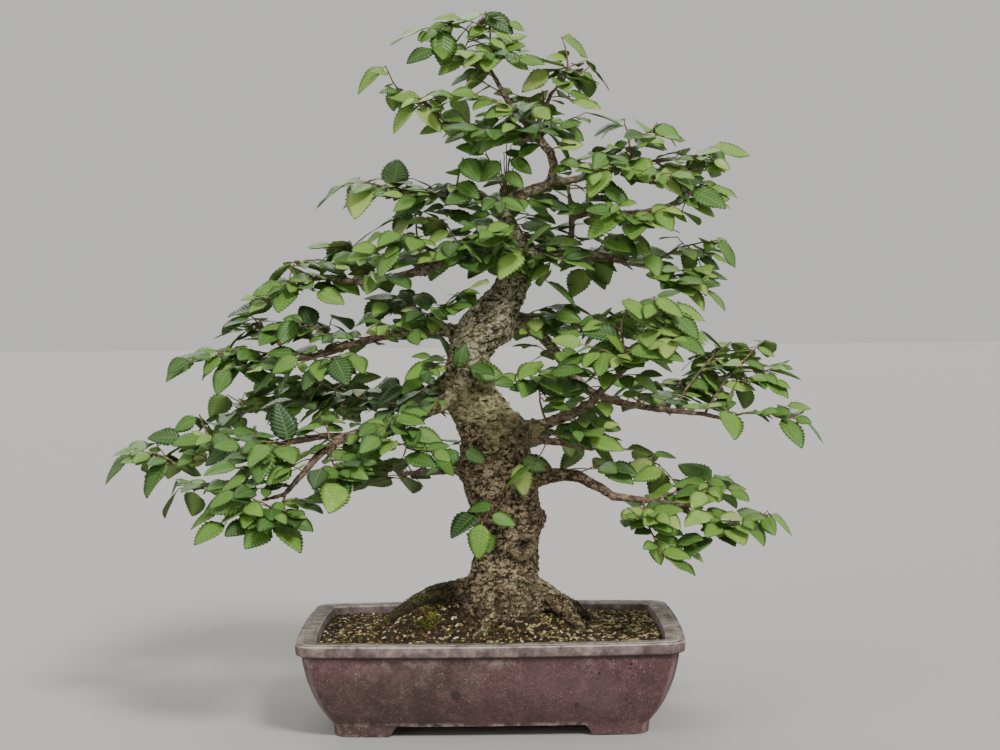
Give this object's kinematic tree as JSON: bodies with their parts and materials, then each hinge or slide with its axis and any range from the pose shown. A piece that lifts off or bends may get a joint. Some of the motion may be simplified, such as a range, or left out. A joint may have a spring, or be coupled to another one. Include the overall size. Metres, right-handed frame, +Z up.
{
  "type": "american elm bonsai",
  "caption": "Informal upright elm bonsai in full leaf, with a curved tapering trunk, surface roots and tiers of toothed leaves, in a rectangular unglazed pot on bracket feet.",
  "frame": {"origin": "on the table under the middle of the whole outline, 23 mm left of and 30 mm behind the middle of the pot", "axes": "+X to the right as the tree is looked at from its front, +Y to its back, +Z up"},
  "size_m": [0.7892, 0.4739, 0.7799],
  "materials": {
    "clay": "matte",
    "soil": "matte",
    "screen": "matte",
    "bark": "matte",
    "leaf": "satin"
  },
  "bodies": {
    "root": {"pot": "clay", "soil": "soil", "screen_left": "screen", "screen_right": "screen", "trunk": "bark", "leaves_left_front_1": "leaf", "leaves_left_front_2": "leaf", "leaves_left_front_3": "leaf", "leaves_left_front_4": "leaf", "leaves_left_far_1": "leaf", "leaves_left_far_2": "leaf", "leaves_left_far_3": "leaf", "leaves_left_back_1": "leaf", "leaves_left_back_2": "leaf", "leaves_left_back_3": "leaf", "leaves_left_middle_1": "leaf", "leaves_left_middle_2": "leaf", "leaves_left_middle_3": "leaf", "leaves_left_middle_4": "leaf", "leaves_left_middle_5": "leaf", "leaves_left_high_1": "leaf", "leaves_left_high_2": "leaf", "leaves_left_high_3": "leaf", "leaves_left_high_4": "leaf", "leaves_left_low_1": "leaf", "leaves_leader_left_1": "leaf", "leaves_leader_left_2": "leaf", "leaves_top_left_1": "leaf", "leaves_leader_1": "leaf", "leaves_leader_2": "leaf", "leaves_leader_3": "leaf", "leaves_leader_4": "leaf", "leaves_leader_5": "leaf", "leaves_leader_6": "leaf", "leaves_apex_right_1": "leaf", "leaves_top_right_1": "leaf", "leaves_top_right_2": "leaf", "leaves_top_right_3": "leaf", "leaves_riser_arm_1": "leaf", "leaves_riser_arm_2": "leaf", "leaves_right_high_1": "leaf", "leaves_right_high_2": "leaf", "leaves_right_high_3": "leaf", "leaves_right_long_1": "leaf", "leaves_right_long_2": "leaf", "leaves_right_long_3": "leaf", "leaves_right_long_4": "leaf", "leaves_right_rise_1": "leaf", "leaves_right_rise_2": "leaf", "leaves_right_rise_3": "leaf", "leaves_right_rise_4": "leaf", "leaves_right_rise_5": "leaf", "leaves_right_low_1": "leaf", "leaves_right_low_2": "leaf", "leaves_right_low_3": "leaf", "leaves_back_low_1": "leaf", "leaves_back_right_1": "leaf", "leaves_back_high_1": "leaf", "leaves_trunk_front_1": "leaf", "leaves_trunk_high_1": "leaf"}
  },
  "joints": []
}
